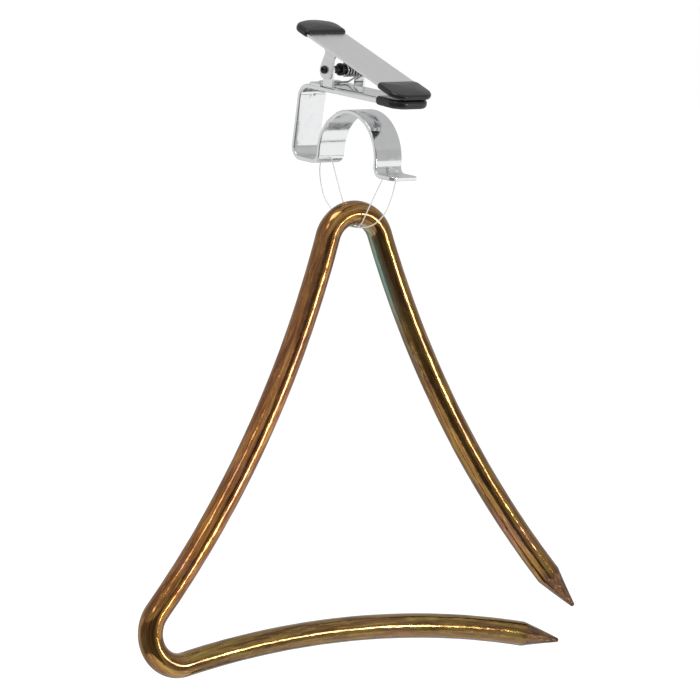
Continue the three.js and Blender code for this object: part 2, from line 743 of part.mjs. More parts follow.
// Rivet with a domed head above the fixed jaw and a domed tail below the strap
function jawRivet() {
  const low = strapTop - strapThickness - seatGap;
  const high = jawTop + seatGap;
  const dome = (radius, height, base, way) => [0, 1, 2, 3].map((i) => {
    const angle = (Math.PI / 2) * (i / 3);
    return [radius * Math.cos(angle), base + way * height * Math.sin(angle)];
  });
  const head = dome(rivetHeadDiameter / 2, rivetHeadHeight, high, 1);
  const tail = dome(rivetTailDiameter / 2, rivetTailHeight, low, -1);
  const shank = rivetDiameter / 2;
  const points = [...tail.reverse(), [shank, low], [shank, high], ...head];
  points[0][0] = 0;
  points[points.length - 1][0] = 0;
  const solid = new THREE.LatheGeometry(points.map(([r, z]) => new THREE.Vector2(r, z)), drumSides);
  solid.rotateX(Math.PI / 2);
  return toSolid(solid);
}

// Stopper knot above a hole
function knot(centre) {
  const ball = new THREE.SphereGeometry(knotDiameter / 2, 12, 8);
  ball.translate(centre.x, centre.y, centre.z);
  return toSolid(ball);
}

// Nylon loop: a thin line along its route
function loop(route) {
  const path = new THREE.CatmullRomCurve3(route.map((place) => new THREE.Vector3(...place)));
  const section = new THREE.Shape();
  for (let k = 0; k < lineSides; k += 1) {
    const angle = (2 * Math.PI * k) / lineSides;
    const x = (lineDiameter / 2) * Math.cos(angle);
    const y = (lineDiameter / 2) * Math.sin(angle);
    if (k === 0) section.moveTo(x, y);
    else section.lineTo(x, y);
  }
  const options = { steps: lineSteps, extrudePath: path, bevelEnabled: false };
  return toSolid(new THREE.ExtrudeGeometry(section, options));
}

// Assembly: the clip leans and turns about its pivot, which stands above the apex bend's centre
const group = new THREE.Group();
const clip = new THREE.Group();
const turnRadians = radians(clipTurn);
const hangAside = -bottomMiddle * Math.sin(radians(clipRoll));
clip.rotation.set(radians(clipRoll), radians(clipLean), turnRadians, 'ZYX');
clip.position.set(-hangAhead, -hangAside, 0).applyAxisAngle(new THREE.Vector3(0, 0, 1), turnRadians);
clip.position.z = hangDrop;
const lines = new THREE.Group();
lines.rotation.set(0, 0, turnRadians);
lines.add(piece('main_loop', loop(mainRoute), nylon()), piece('safety_loop', loop(safetyRoute), nylon()));

const rivets = ['near', 'far'].map((where, i) => {
  const rivet = piece(`jaw_rivet_${where}`, jawRivet(), chrome());
  rivet.position.set(-rivetBehindPivot, rivetSpots[i], 0);
  return rivet;
});

const slant = radians(mainHoleAngle);
const knotInset = footBend - slipGap - knotDiameter / 2;
const knots = [['rear', rearFootCentre, 1], ['front', frontFootCentre, -1]].map(([where, centre, way]) => {
  const main = new THREE.Vector3(
    centre + way * knotInset * Math.cos(slant),
    0,
    footCentre - knotInset * Math.sin(slant),
  );
  const safety = new THREE.Vector3(
    centre - way * (safetyHoleOffset - footBend),
    0,
    bottomMiddle + strapHalf + slipGap + knotDiameter / 2,
  );
  return [
    piece(`main_knot_${where}`, knot(main), nylon()),
    piece(`safety_knot_${where}`, knot(safety), nylon()),
  ];
}).flat();

const lever = new THREE.Group();
lever.rotation.set(0, closing, 0);
lever.add(
  piece('lever', leverPlate(), satin()),
  piece('lever_jaw_cap', leverCap(jawCapStart, capFar, jawCapRise), vinyl()),
  piece('lever_thumb_cap', leverCap(-thumbFar, thumbCapEnd, thumbCapRise), vinyl()),
);
clip.add(
  piece('hanger_strap', hangerStrap(), chrome()),
  piece('fixed_jaw', fixedJaw(), chrome()),
  ...rivets,
  piece('fixed_jaw_cap', fixedJawCap(), vinyl()),
  piece('pivot_pin', pivotPin(), chrome()),
  piece('pivot_sleeve', pivotSleeve(), vinyl()),
  piece('torsion_spring', torsionSpring(), chrome()),
  ...knots,
  lever,
);
group.add(clip, lines);

const rod = triangleRod();
const triangle = piece('triangle_rod', rod.geometry, bronze());
triangle.rotation.set(0, -rod.hangAngle, 0);
group.add(triangle);

// The origin is the middle of the line where the jaws meet
clip.updateMatrixWorld(true);
const origin = clip.localToWorld(new THREE.Vector3(meetAlong, 0, meetHeight + seatGap / 2));
group.position.copy(origin.negate());

export default group;
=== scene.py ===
import json
from math import acos, atan2, cos, pi, radians, sin, sqrt, tan, tau

import bmesh
import bpy
from mathutils import Matrix, Vector, noise
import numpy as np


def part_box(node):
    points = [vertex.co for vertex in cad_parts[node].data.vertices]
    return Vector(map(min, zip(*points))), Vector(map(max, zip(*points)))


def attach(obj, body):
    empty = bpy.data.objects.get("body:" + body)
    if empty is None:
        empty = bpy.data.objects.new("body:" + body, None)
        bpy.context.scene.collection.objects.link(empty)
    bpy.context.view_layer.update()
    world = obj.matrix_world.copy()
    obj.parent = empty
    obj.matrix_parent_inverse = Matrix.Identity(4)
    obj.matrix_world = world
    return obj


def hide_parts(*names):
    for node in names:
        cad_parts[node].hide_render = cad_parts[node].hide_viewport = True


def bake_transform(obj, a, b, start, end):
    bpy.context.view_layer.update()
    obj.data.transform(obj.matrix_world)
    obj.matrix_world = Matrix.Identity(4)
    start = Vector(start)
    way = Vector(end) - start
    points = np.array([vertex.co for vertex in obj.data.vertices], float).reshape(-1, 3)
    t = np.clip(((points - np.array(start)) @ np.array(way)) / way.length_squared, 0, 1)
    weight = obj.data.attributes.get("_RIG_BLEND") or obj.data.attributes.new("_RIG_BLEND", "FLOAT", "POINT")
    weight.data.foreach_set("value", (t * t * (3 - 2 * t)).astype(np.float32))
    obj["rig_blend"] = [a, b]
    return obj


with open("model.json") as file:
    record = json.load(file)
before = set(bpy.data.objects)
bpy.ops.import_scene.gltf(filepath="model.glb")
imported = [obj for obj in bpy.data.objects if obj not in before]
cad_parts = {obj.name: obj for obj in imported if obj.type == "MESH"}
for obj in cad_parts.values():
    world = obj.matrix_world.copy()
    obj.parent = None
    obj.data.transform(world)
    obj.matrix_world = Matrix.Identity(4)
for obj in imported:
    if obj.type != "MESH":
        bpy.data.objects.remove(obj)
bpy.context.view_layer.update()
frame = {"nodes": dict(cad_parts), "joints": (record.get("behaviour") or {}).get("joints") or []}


# ---- Studio ----
# The camera looks from a little above the triangle's top bend, with the open corner to the right.
# A white surround lights everything softly, and three soft boxes draw the highlights. Grey screens and a
# grey ceiling stand round it all, as in a studio, to give the metal something to reflect.
places = {joint["name"]: Vector(joint["pos_m"]) for joint in frame["joints"]}
apex = places["triangle_swing"]
camera_data = bpy.data.cameras.new("camera")
camera = bpy.data.objects.new("camera", camera_data)
bpy.context.collection.objects.link(camera)
camera_data.sensor_width = 36
camera_data.lens = 376.47
camera_data.clip_end = 30
# Its turn about the vertical, its look down and its roll, in radians, and its place from the top bend
camera_turn, look_down, camera_roll = -0.601, 0.0451, 0.0215
camera_offset = (-0.0018615, -0.0497885, 3.5)
camera_yaw = Matrix.Rotation(camera_turn, 4, "Z")
camera_tilt = Matrix.Rotation(pi / 2 - look_down, 4, "X") @ Matrix.Rotation(camera_roll, 4, "Z")
camera.matrix_world = (
    Matrix.Translation(apex) @ camera_yaw @ camera_tilt @ Matrix.Translation(camera_offset)
)
bpy.context.scene.camera = camera
bpy.context.scene.view_settings.view_transform = "Standard"


def add(tree, kind, values=None, **settings):
    """One shader node with its settings, and its inputs as plain values or links."""
    made = tree.nodes.new("ShaderNode" + kind)
    for key, value in settings.items():
        setattr(made, key, value)
    for key, value in (values or {}).items():
        if isinstance(value, bpy.types.NodeSocket):
            tree.links.new(value, made.inputs[key])
        else:
            made.inputs[key].default_value = value
    return made


def product(tree, first, second):
    return add(tree, "Math", {0: first, 1: second}, operation="MULTIPLY").outputs[0]


world = bpy.data.worlds.new("surround")
bpy.context.scene.world = world
world.use_nodes = True
surround = world.node_tree
surround.nodes.clear()
ray = add(surround, "LightPath").outputs
direct = add(surround, "Math", {0: ray["Is Camera Ray"], 1: ray["Is Glossy Ray"]}, operation="ADD")
seen = add(
    surround, "Math", {0: direct.outputs[0], 1: ray["Is Transmission Ray"]}, operation="ADD", use_clamp=True,
)
soft = add(surround, "Background", {"Color": (1, 1, 1, 1), "Strength": 0.75})
white = add(surround, "Background", {"Color": (1, 1, 1, 1), "Strength": 1.0})
either = add(surround, "MixShader", {0: seen.outputs[0], 1: soft.outputs[0], 2: white.outputs[0]})
add(surround, "OutputWorld", {"Surface": either.outputs[0]})


def from_camera(turn, height, distance):
    """A place round the triangle: degrees to the right of the camera, metres above the top bend."""
    around = Matrix.Rotation(camera_turn + radians(turn), 4, "Z")
    return apex + around @ Vector((0, -distance, height))


# The soft boxes point a little below the top bend
lamp_aim = apex + Vector((0, 0, -0.06))


def soft_box(name, place, size, power):
    """A square-cornered area lamp: its two sides in metres and its power in watts."""
    lamp_data = bpy.data.lights.new(name, "AREA")
    lamp_data.shape = "RECTANGLE"
    lamp_data.size, lamp_data.size_y = size
    lamp_data.energy = power
    lamp = bpy.data.objects.new(name, lamp_data)
    bpy.context.collection.objects.link(lamp)
    aim = (lamp_aim - place).to_track_quat("-Z", "Y")
    lamp.matrix_world = Matrix.Translation(place) @ aim.to_matrix().to_4x4()


soft_box("left_soft_box", from_camera(-25, 1.3, 1.6), (0.3, 0.34), 1.3)
soft_box("right_soft_box", from_camera(66, -0.17, 1.6), (0.3, 0.24), 3.4)
soft_box("top_soft_box", from_camera(-15, 1.5, 0.7), (0.9, 0.6), 6)


def plain_material(name):
    made = bpy.data.materials.new(name)
    made.use_nodes = True
    made.node_tree.nodes.clear()
    return made


def object_from(form, name, material, flats=False):
    """The finished mesh of a piece, smooth but for its crisp edges, with its object at the origin."""
    bmesh.ops.recalc_face_normals(form, faces=form.faces)
    crisp = radians(38)
    for face in form.faces:
        face.smooth = True
    for edge in form.edges:
        edge.smooth = len(edge.link_faces) == 2 and edge.calc_face_angle(pi) < crisp
    mesh = bpy.data.meshes.new(name)
    form.to_mesh(mesh)
    form.free()
    mesh.materials.append(material)
    made = bpy.data.objects.new(name, mesh)
    bpy.context.collection.objects.link(made)
    if flats:
        made.modifiers.new("level_flats", "WEIGHTED_NORMAL").keep_sharp = True
    return made


def disc(radius, height):
    """A level round sheet, its height in metres above the top bend."""
    form = bmesh.new()
    bmesh.ops.create_circle(form, cap_ends=True, segments=64, radius=radius)
    bmesh.ops.translate(form, verts=form.verts, vec=apex + Vector((0, 0, height)))
    return form


# The floor is lifted towards white for the camera alone, so that it runs into the surround
floor_radius, floor_drop, floor_lift = 30, 0.23, 0.42
floor_finish = plain_material("pale_floor")
tree = floor_finish.node_tree
matt = add(tree, "BsdfDiffuse", {"Color": (0.86, 0.86, 0.86, 1)})
lift = product(tree, add(tree, "LightPath").outputs["Is Camera Ray"], floor_lift)
glow = add(tree, "Emission", {"Color": (1, 1, 1, 1), "Strength": lift})
both = add(tree, "AddShader", {0: matt.outputs[0], 1: glow.outputs[0]})
add(tree, "OutputMaterial", {"Surface": both.outputs[0]})
floor = object_from(disc(floor_radius, -floor_drop), "floor", floor_finish)
floor.visible_glossy = False


def grey_screen(name, form, shade):
    """A plain grey surface round the object, seen only in reflections."""
    finish = plain_material(name)
    glow = add(finish.node_tree, "Emission", {"Color": (shade, shade, shade, 1), "Strength": 1.0})
    add(finish.node_tree, "OutputMaterial", {"Surface": glow.outputs[0]})
    screen = object_from(form, name, finish)
    screen.visible_camera = False
    screen.visible_diffuse = False
    screen.visible_shadow = False
    screen.visible_transmission = False


# Part of an upright cylinder each: from and to, in degrees to the right of the camera; lowest and highest,
# in degrees above the clip; and how grey
clip_above, screen_distance, screen_steps = 0.1, 2.4, 24
for name, first, last, low, high, shade in (
    ("screen_behind_camera", -15, 44, -47, 13, 0.13),
    ("screen_front", -44, -15, -47, 13, 0.22),
    ("screen_front_left", -88, -44, -47, 13, 0.25),
    ("screen_left", -124, -88, -47, 13, 0.75),
    ("screen_far_left", -180, -124, -47, 13, 0.42),
    ("screen_front_right", 44, 76, -47, 13, 0.42),
    ("screen_far_right", 76, 180, -8, 13, 0.5),
    ("screen_low_far", 128, 180, -47, -8, 0.6),
    ("upper_dark_strip", 76, 112, -31.8, -29.4, 0.16),
    ("lower_dark_strip", 110, 160, -50.5, -47.5, 0.12),
):
    form = bmesh.new()
    heights = [clip_above + screen_distance * tan(radians(angle)) for angle in (low, high)]
    ends = [form.verts.new(from_camera(first, height, screen_distance)) for height in heights]
    edge = form.edges.new(ends)
    bmesh.ops.spin(
        form, geom=[*ends, edge], cent=apex, axis=(0, 0, 1), angle=radians(last - first),
        steps=screen_steps, use_merge=False, use_duplicate=False,
    )
    grey_screen(name, form, shade)
ceiling_radius, ceiling_height = 7.1, 1.75
grey_screen("ceiling", disc(ceiling_radius, ceiling_height), 0.55)


# ---- Nylon loops ----
# Two lengths of clear nylon line, 0.6 mm thick. The main loop carries the triangle; the safety loop is
# longer and slack. Each passes under the top bend and up through two holes of the clip's strap.
line_radius = 0.0003
clip_turn = radians(-84.8)
lines_place = Matrix.Translation(apex) @ Matrix.Rotation(clip_turn, 4, "Z")
main_route = [
    (-20.4, -0.1, 42.6), (-18.9, -0.1, 41.7), (-17.7, 0, 40.1), (-14.4, 0.1, 32.4), (-10.3, 0.3, 22.9),
    (-7.4, 0.5, 16.3), (-6.2, 0.6, 13.3), (-3.9, 0.6, 10.4), (0, 0.6, 9.15), (3.2, 0.6, 10),
    (5.4, 0.6, 11.9), (8.8, 0.4, 16.6), (14.4, 0.2, 24.4), (20.9, 0, 33.6), (22.9, -0.1, 36.4),
    (24.9, -0.1, 37.3),
]
safety_route = [
    (-26.3, 0, 41.6), (-26.5, 0, 39.5), (-26.8, -0.1, 35), (-25.4, -0.2, 28.4), (-22.2, -0.4, 22.2),
    (-17, -0.5, 17.2), (-10.5, -0.6, 12.6), (-5.2, -0.6, 9.9), (0, -0.6, 9.1), (7, -0.6, 9),
    (13.8, -0.5, 10.3), (19.4, -0.4, 13.2), (24.3, -0.3, 18), (27.2, -0.2, 23.4), (29.1, -0.1, 28.4),
    (30, 0, 32), (30.3, 0, 34.9),
]


def smooth_line(route, steps):
    """A centripetal curve through the route's points, which are in millimetres round the top bend."""
    spots = [Vector(spot) for spot in route]
    spots = [2 * spots[0] - spots[1], *spots, 2 * spots[-1] - spots[-2]]
    line = []
    for a, b, c, d in zip(spots, spots[1:], spots[2:], spots[3:]):
        times = [0]
        for start, end in ((a, b), (b, c), (c, d)):
            times.append(times[-1] + sqrt((end - start).length))
        t0, t1, t2, t3 = times
        for step in range(steps):
            t = t1 + (t2 - t1) * step / steps
            ab = a.lerp(b, (t - t0) / (t1 - t0))
            bc = b.lerp(c, (t - t1) / (t2 - t1))
            cd = c.lerp(d, (t - t2) / (t3 - t2))
            abc = ab.lerp(bc, (t - t0) / (t2 - t0))
            bcd = bc.lerp(cd, (t - t1) / (t3 - t1))
            line.append(abc.lerp(bcd, (t - t1) / (t2 - t1)))
    return [lines_place @ (spot / 1000) for spot in [*line, spots[-2]]]


def tube_along(line, radii, sides, aside):
    """A round bar or wire: one ring of edges carried along a line. Its points keep how far along the
    line they lie, and how far off it, so that a finish can follow the bar."""
    form = bmesh.new()
    marks = {key: form.verts.layers.float.new(key) for key in ("along", "across", "depth")}
    end = len(line) - 1
    tangents = [(line[min(i + 1, end)] - line[max(i - 1, 0)]).normalized() for i in range(len(line))]
    off = (aside - tangents[0] * aside.dot(tangents[0])).normalized()
    circle = bmesh.ops.create_circle(form, cap_ends=True, segments=sides, radius=1)
    ring, edges, before, along = circle["verts"], list(form.edges), Matrix.Identity(4), 0
    for i, spot in enumerate(line):
        if i:
            grown = bmesh.ops.extrude_edge_only(form, edges=edges)["geom"]
            ring = [part for part in grown if isinstance(part, bmesh.types.BMVert)]
            edges = [part for part in grown if isinstance(part, bmesh.types.BMEdge)]
            off.rotate(tangents[i - 1].rotation_difference(tangents[i]))
            along += (spot - line[i - 1]).length
        over = tangents[i].cross(off)
        turned = Matrix((off, over, tangents[i])).transposed().to_4x4()
        now = Matrix.Translation(spot) @ turned @ Matrix.Scale(radii[i], 4)
        bmesh.ops.transform(form, matrix=now @ before.inverted(), verts=ring)
        before = now
        for vert in ring:
            away = vert.co - spot
            vert[marks["along"]] = along
            vert[marks["across"]] = away.dot(off)
            vert[marks["depth"]] = away.dot(over)
    bmesh.ops.contextual_create(form, geom=edges)
    return form


def marked(tree, scales):
    """The bar's own coordinates as a vector: along it, across it and over it, each to its own scale."""
    parts = {}
    for axis, key, scale in zip("XYZ", ("along", "across", "depth"), scales):
        read = add(tree, "Attribute", attribute_name=key)
        parts[axis] = product(tree, read.outputs["Fac"], scale)
    return add(tree, "CombineXYZ", parts).outputs[0]


def principled(name, **values):
    """A material with one Principled shader, and its node tree to build on."""
    made = bpy.data.materials.new(name)
    made.use_nodes = True
    shader = made.node_tree.nodes["Principled BSDF"]
    for key, value in values.items():
        socket = shader.inputs[key.replace("_", " ")]
        socket.default_value = (*value, 1) if isinstance(value, tuple) else value
    return made, made.node_tree, shader


def group_of(name, inputs, outputs):
    """An empty shader node group with named sockets."""
    made = bpy.data.node_groups.new(name, "ShaderNodeTree")
    for kind, sockets in (("INPUT", inputs), ("OUTPUT", outputs)):
        for label, form in sockets:
            made.interface.new_socket(label, in_out=kind, socket_type="NodeSocket" + form)
    return made, made.nodes.new("NodeGroupInput").outputs, made.nodes.new("NodeGroupOutput").inputs


# Uneven surface, shared by all finishes: two sizes of soft noise that vary a value and raise the surface
unevenness, given, wanted = group_of(
    "unevenness",
    [("Vector", "Vector"), ("Scale", "Float"), ("Low", "Float"), ("High", "Float")],
    [("Value", "Float"), ("Height", "Float")],
)
wide = add(unevenness, "TexNoise", {"Vector": given["Vector"], "Scale": given["Scale"], "Detail": 3.0})
times_finer = 5.3
fine_scale = product(unevenness, given["Scale"], times_finer)
fine = add(unevenness, "TexNoise", {"Vector": given["Vector"], "Scale": fine_scale, "Detail": 2.0})
mean = add(unevenness, "Math", {0: wide.outputs["Fac"], 1: fine.outputs["Fac"]}, operation="ADD")
spread = add(unevenness, "MapRange", {
    "Value": mean.outputs[0], "From Min": 0.7, "From Max": 1.3,
    "To Min": given["Low"], "To Max": given["High"],
})
unevenness.links.new(spread.outputs[0], wanted["Value"])
unevenness.links.new(mean.outputs[0], wanted["Height"])


def uneven(tree, vector, scale, low, high):
    values = {"Vector": vector, "Scale": scale, "Low": low, "High": high}
    return add(tree, "Group", values, node_tree=unevenness)


def raise_surface(tree, shader, height, strength, distance):
    bump = add(tree, "Bump", {"Height": height, "Strength": strength, "Distance": distance})
    tree.links.new(bump.outputs[0], shader.inputs["Normal"])


def tinted(tree, shader, share, first, last):
    """Runs the base colour from one tint to another by a share."""
    ramp = add(tree, "ValToRGB", {"Fac": share})
    for stop, tint in zip(ramp.color_ramp.elements, (first, last)):
        stop.color = (*tint, 1)
    tree.links.new(ramp.outputs[0], shader.inputs["Base Color"])


def varied(tree, shader, play, first, last, strength, distance):
    """Lets the unevenness vary the roughness, tint the base colour and raise the surface."""
    tree.links.new(play.outputs["Value"], shader.inputs["Roughness"])
    tinted(tree, shader, play.outputs["Height"], first, last)
    raise_surface(tree, shader, play.outputs["Height"], strength, distance)


nylon, tree, shader = principled("nylon", Base_Color=(0.88, 0.86, 0.8), Roughness=0.45)
play = uneven(tree, marked(tree, (1, 4, 4)), 60, 0.4, 0.5)
tinted(tree, shader, play.outputs["Value"], (0.92, 0.9, 0.84), (0.84, 0.82, 0.75))
tree.links.new(play.outputs["Value"], shader.inputs["Roughness"])

upright = Vector((0, 0, 1))
aside = Vector((1, 0, 0))
loops = {}
for name, route in (("main_loop", main_route), ("safety_loop", safety_route)):
    line = smooth_line(route, 10)
    form = tube_along(line, [line_radius] * len(line), 12, aside)
    loops[name] = (object_from(form, name + "_line", nylon), line)
    loop = loops[name][0]
    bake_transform(loop, "clip_base", "loops", start=apex + upright * 0.03, end=apex + upright * 0.013)
    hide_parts(name)


# ---- Stopper knots ----
# Each loop ends above its two holes in an overhand knot, tied in the same nylon line and drawn tight.
knot_middle, knot_swing, knot_rise = 0.00052, 0.0003, 0.00038
knot_start, knot_opening, knot_steps = 0.35, 0.5, 72


def overhand_knot(centre):
    """An open trefoil of line, 2.2 mm across."""
    line = []
    for step in range(knot_steps + 1):
        turn = knot_start + (tau - knot_opening) * step / knot_steps
        out = knot_middle + knot_swing * cos(3 * turn)
        spot = (out * cos(2 * turn), out * sin(2 * turn), knot_rise * sin(3 * turn))
        line.append(centre + Vector(spot))
    return tube_along(line, [line_radius] * len(line), 10, upright)


knots = {"main_loop": [], "safety_loop": []}
for name in ("main_knot_rear", "main_knot_front", "safety_knot_rear", "safety_knot_front"):
    low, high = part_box(name)
    knot = object_from(overhand_knot((low + high) / 2), name + "_tied", nylon)
    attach(knot, "clip_base")
    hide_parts(name)
    knots[name.split("_")[0] + "_loop"].append(knot)


# ---- Hanger strap ----
# Flat bar, 16 x 2 mm, drilled flat and then bent into a C and an arch, its edges tumbled round before it
# was plated bright. Two rivets hold its top under the fixed jaw.
clip_place = (
    Matrix.Translation(places["lever_pivot"]) @ Matrix.Rotation(clip_turn, 4, "Z")
    @ Matrix.Rotation(radians(6.75), 4, "Y") @ Matrix.Rotation(radians(1.75), 4, "X")
)
strap_half = 0.001
strap_width = 0.016
strap_top, strap_height = -0.0092, 0.0372
bottom_middle = strap_top - strap_height + strap_half
wall_reach, wall_lean = 0.0235, radians(4.5)
top_radius, bottom_radius = 0.006, 0.0055
arch_ahead, arch_middle, arch_leg, foot_middle = 0.0163, 0.0215, 0.0016, 0.004
strap_top_end, foot_length = 0.0044, 0.0102
rear_foot = arch_ahead - arch_middle - foot_middle
top_start = -wall_reach + top_radius + strap_half
wall = (
    strap_top - strap_half - bottom_middle
    - top_radius * (1 - sin(wall_lean)) - bottom_radius * (1 + sin(wall_lean))
) / cos(wall_lean)
bottom_start = top_start + (bottom_radius - top_radius) * cos(wall_lean) - wall * sin(wall_lean)
bends = [
    (strap_top_end - top_start, 0),
    (top_radius, pi / 2 - wall_lean),
    (wall, 0),
    (bottom_radius, pi / 2 + wall_lean),
    (rear_foot - bottom_start, 0),
    (foot_middle, pi / 2),
    (arch_leg, 0),
    (arch_middle, -pi),
    (arch_leg, 0),
    (foot_middle, pi / 2),
    (foot_length, 0),
]
reaches = [size * abs(turn) if turn else size for size, turn in bends]
starts = [sum(reaches[:i]) for i in range(len(reaches))]
strap_length = sum(reaches)


def bent(distance, side, proud):
    """Where a point of the flat bar goes once the bar is bent, in the clip's own frame."""
    x, z, heading = strap_top_end, strap_top - strap_half, pi
    for (size, turn), reach, start in zip(bends, reaches, starts):
        here = max(0, min(reach, distance - start))
        if turn:
            way = 1 if turn > 0 else -1
            angle = heading + way * here / size
            x += way * size * (sin(angle) - sin(heading))
            z -= way * size * (cos(angle) - cos(heading))
            heading = angle
        else:
            x += here * cos(heading)
            z += here * sin(heading)
    return Vector((x - proud * sin(heading), side, z + proud * cos(heading)))


cell = 0.001
form = bmesh.new()
bmesh.ops.create_grid(
    form, x_segments=round(strap_length / cell), y_segments=round(strap_width / cell), size=0.5,
    matrix=(
        Matrix.Translation((strap_length / 2, 0, 0)) @ Matrix.Diagonal((strap_length, strap_width, 1, 1))
    ),
)

# The holes: how far along the flat bar, how far to the side, and their radius
line_hole, rivet_hole, wall_hole = 0.0009, 0.00165, 0.0015
rivet_back, rivet_side = 0.0094, 0.0045
wall_hole_lift, safety_hole_away = 0.0002, 0.003
rear_hole_turn, front_hole_turn = radians(65), radians(25)
holes = [
    (strap_top_end + rivet_back, -rivet_side, rivet_hole),
    (strap_top_end + rivet_back, rivet_side, rivet_hole),
    (starts[2] - wall_hole_lift, 0, wall_hole),
    (starts[5] + foot_middle * rear_hole_turn, 0, line_hole),
    (starts[5] - safety_hole_away, 0, line_hole),
    (starts[9] + foot_middle * front_hole_turn, 0, line_hole),
    (starts[10] + safety_hole_away, 0, line_hole),
]
for distance, side, radius in holes:
    reach = radius + 0.6 * cell
    inside = [
        face for face in form.faces
        if abs(face.calc_center_median().x - distance) < reach
        and abs(face.calc_center_median().y - side) < reach
    ]
    touched = dict.fromkeys(edge for face in inside for edge in face.edges)
    rim = [edge for edge in touched if sum(face in inside for face in edge.link_faces) == 1]
    bmesh.ops.delete(form, geom=inside, context="FACES")
    drilled = bmesh.ops.create_circle(
        form, cap_ends=False, segments=len(rim), radius=radius,
        matrix=Matrix.Translation((distance, side, 0)),
    )
    circle = list(dict.fromkeys(edge for vert in drilled["verts"] for edge in vert.link_edges))
    bmesh.ops.bridge_loops(form, edges=rim + circle)

# The foot's free corners are rounded with a 2 mm radius
corner, run_in = 0.002, 0.009
for vert in form.verts:
    into = abs(vert.co.y) - (strap_width / 2 - corner)
    near_end = vert.co.x - (strap_length - run_in)
    if into > 0 and near_end > 0:
        vert.co.x -= (corner - sqrt(max(corner ** 2 - into ** 2, 0))) * near_end / run_in
thick = bmesh.ops.extrude_face_region(form, geom=form.faces[:])
raised = [part for part in thick["geom"] if isinstance(part, bmesh.types.BMVert)]
bmesh.ops.translate(form, verts=raised, vec=(0, 0, 2 * strap_half))
bmesh.ops.translate(form, verts=form.verts, vec=(0, 0, -strap_half))
bmesh.ops.recalc_face_normals(form, faces=form.faces)


# Bands along the flat bar's sides and its two ends; a sharp edge that lies within none is a hole's
side_band, back_band, foot_band = 0.0002, 0.0005, 0.003


def outside(vert):
    beside = abs(vert.co.y) > strap_width / 2 - side_band
    return beside or not back_band < vert.co.x < strap_length - foot_band


def sharp_edges(form, angle):
    """The edges where two faces meet at more than an angle, in degrees."""
    return [edge for edge in form.edges if edge.calc_face_angle(0) > radians(angle)]


def round_edges(form, edges, offset, segments):
    bmesh.ops.bevel(
        form, geom=edges, offset=offset, segments=segments, profile=0.5, affect="EDGES", material=-1,
        clamp_overlap=True,
    )


hole_round, outer_round, bar_sharp = 0.0002, 0.00065, 60
at_holes = [
    edge for edge in sharp_edges(form, bar_sharp) if not any(outside(vert) for vert in edge.verts)
]
round_edges(form, at_holes, hole_round, 2)
at_outside = [edge for edge in sharp_edges(form, bar_sharp) if all(outside(vert) for vert in edge.verts)]
round_edges(form, at_outside, outer_round, 5)
for vert in form.verts:
    vert.co = clip_place @ bent(*vert.co)

chrome, tree, shader = principled("bright_plate", Base_Color=(0.8, 0.81, 0.82), Metallic=1.0, Roughness=0.1)
own = add(tree, "TexCoord").outputs["Object"]
play = uneven(tree, own, 60, 0.06, 0.17)
varied(tree, shader, play, (0.72, 0.73, 0.745), (0.84, 0.845, 0.85), 0.06, 0.0002)
strap = object_from(form, "bent_strap", chrome, flats=True)
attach(strap, "clip_base")
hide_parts("hanger_strap")


# ---- Fixed jaw ----
# Sheet steel, 1.2 mm, stamped with two ears up and two flanges down, and plated with the strap. The
# edges of both stamped plates stay almost sharp: the clamping leaves their rounding hardly any room.
sheet, sheet_round, sheet_sharp = 0.0012, 0.0002, 50


def tumbled(node, edge_round, segments):
    """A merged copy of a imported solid, its sharp edges rounded as far as the clamping lets them."""
    form = bmesh.new()
    form.from_mesh(frame["nodes"][node].data)
    bmesh.ops.remove_doubles(form, verts=form.verts, dist=0.000001)
    bmesh.ops.dissolve_limit(form, angle_limit=radians(0.6), verts=form.verts, edges=form.edges)
    round_edges(form, sharp_edges(form, sheet_sharp), edge_round, segments)
    return form


fixed = object_from(tumbled("fixed_jaw", sheet_round, 2), "stamped_jaw", chrome, flats=True)
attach(fixed, "clip_base")
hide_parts("fixed_jaw")


# ---- Jaw rivets ----
# Two short plated rivets through the strap and the fixed jaw, domed above and clinched below.
def turned(profile, axis, centre, steps=48):
    """A solid of revolution: the profile's line of points, spun round an axis through the centre."""
    form = bmesh.new()
    spots = [form.verts.new(spot) for spot in profile]
    edges = [form.edges.new(pair) for pair in zip(spots, spots[1:])]
    bmesh.ops.spin(
        form, geom=spots + edges, cent=(0, 0, 0), axis=axis, angle=tau, steps=steps,
        use_merge=True, use_duplicate=False,
    )
    bmesh.ops.remove_doubles(form, verts=form.verts, dist=0.000002)
    bmesh.ops.transform(form, matrix=clip_place @ Matrix.Translation(centre), verts=form.verts)
    return form


jaw_top, rivet_seat = -0.0077, 0.0003
shank, head, head_rise, tail, tail_rise = 0.0014, 0.0023, 0.0009, 0.0021, 0.0011
under_strap, over_jaw = strap_top - 2 * strap_half - rivet_seat, jaw_top + rivet_seat
quarter = [i * pi / 20 for i in range(11)]
tail_dome = [(tail * cos(a), 0, under_strap - tail_rise * sin(a)) for a in reversed(quarter)]
head_dome = [(head * cos(a), 0, over_jaw + head_rise * sin(a)) for a in quarter]
rivet_line = [*tail_dome, (shank, 0, under_strap), (shank, 0, over_jaw), *head_dome]
for name, side in (("jaw_rivet_near", -rivet_side), ("jaw_rivet_far", rivet_side)):
    form = turned(rivet_line, (0, 0, 1), (-rivet_back, side, 0))
    rivet = object_from(form, name + "_clinched", chrome)
    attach(rivet, "clip_base")
    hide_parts(name)


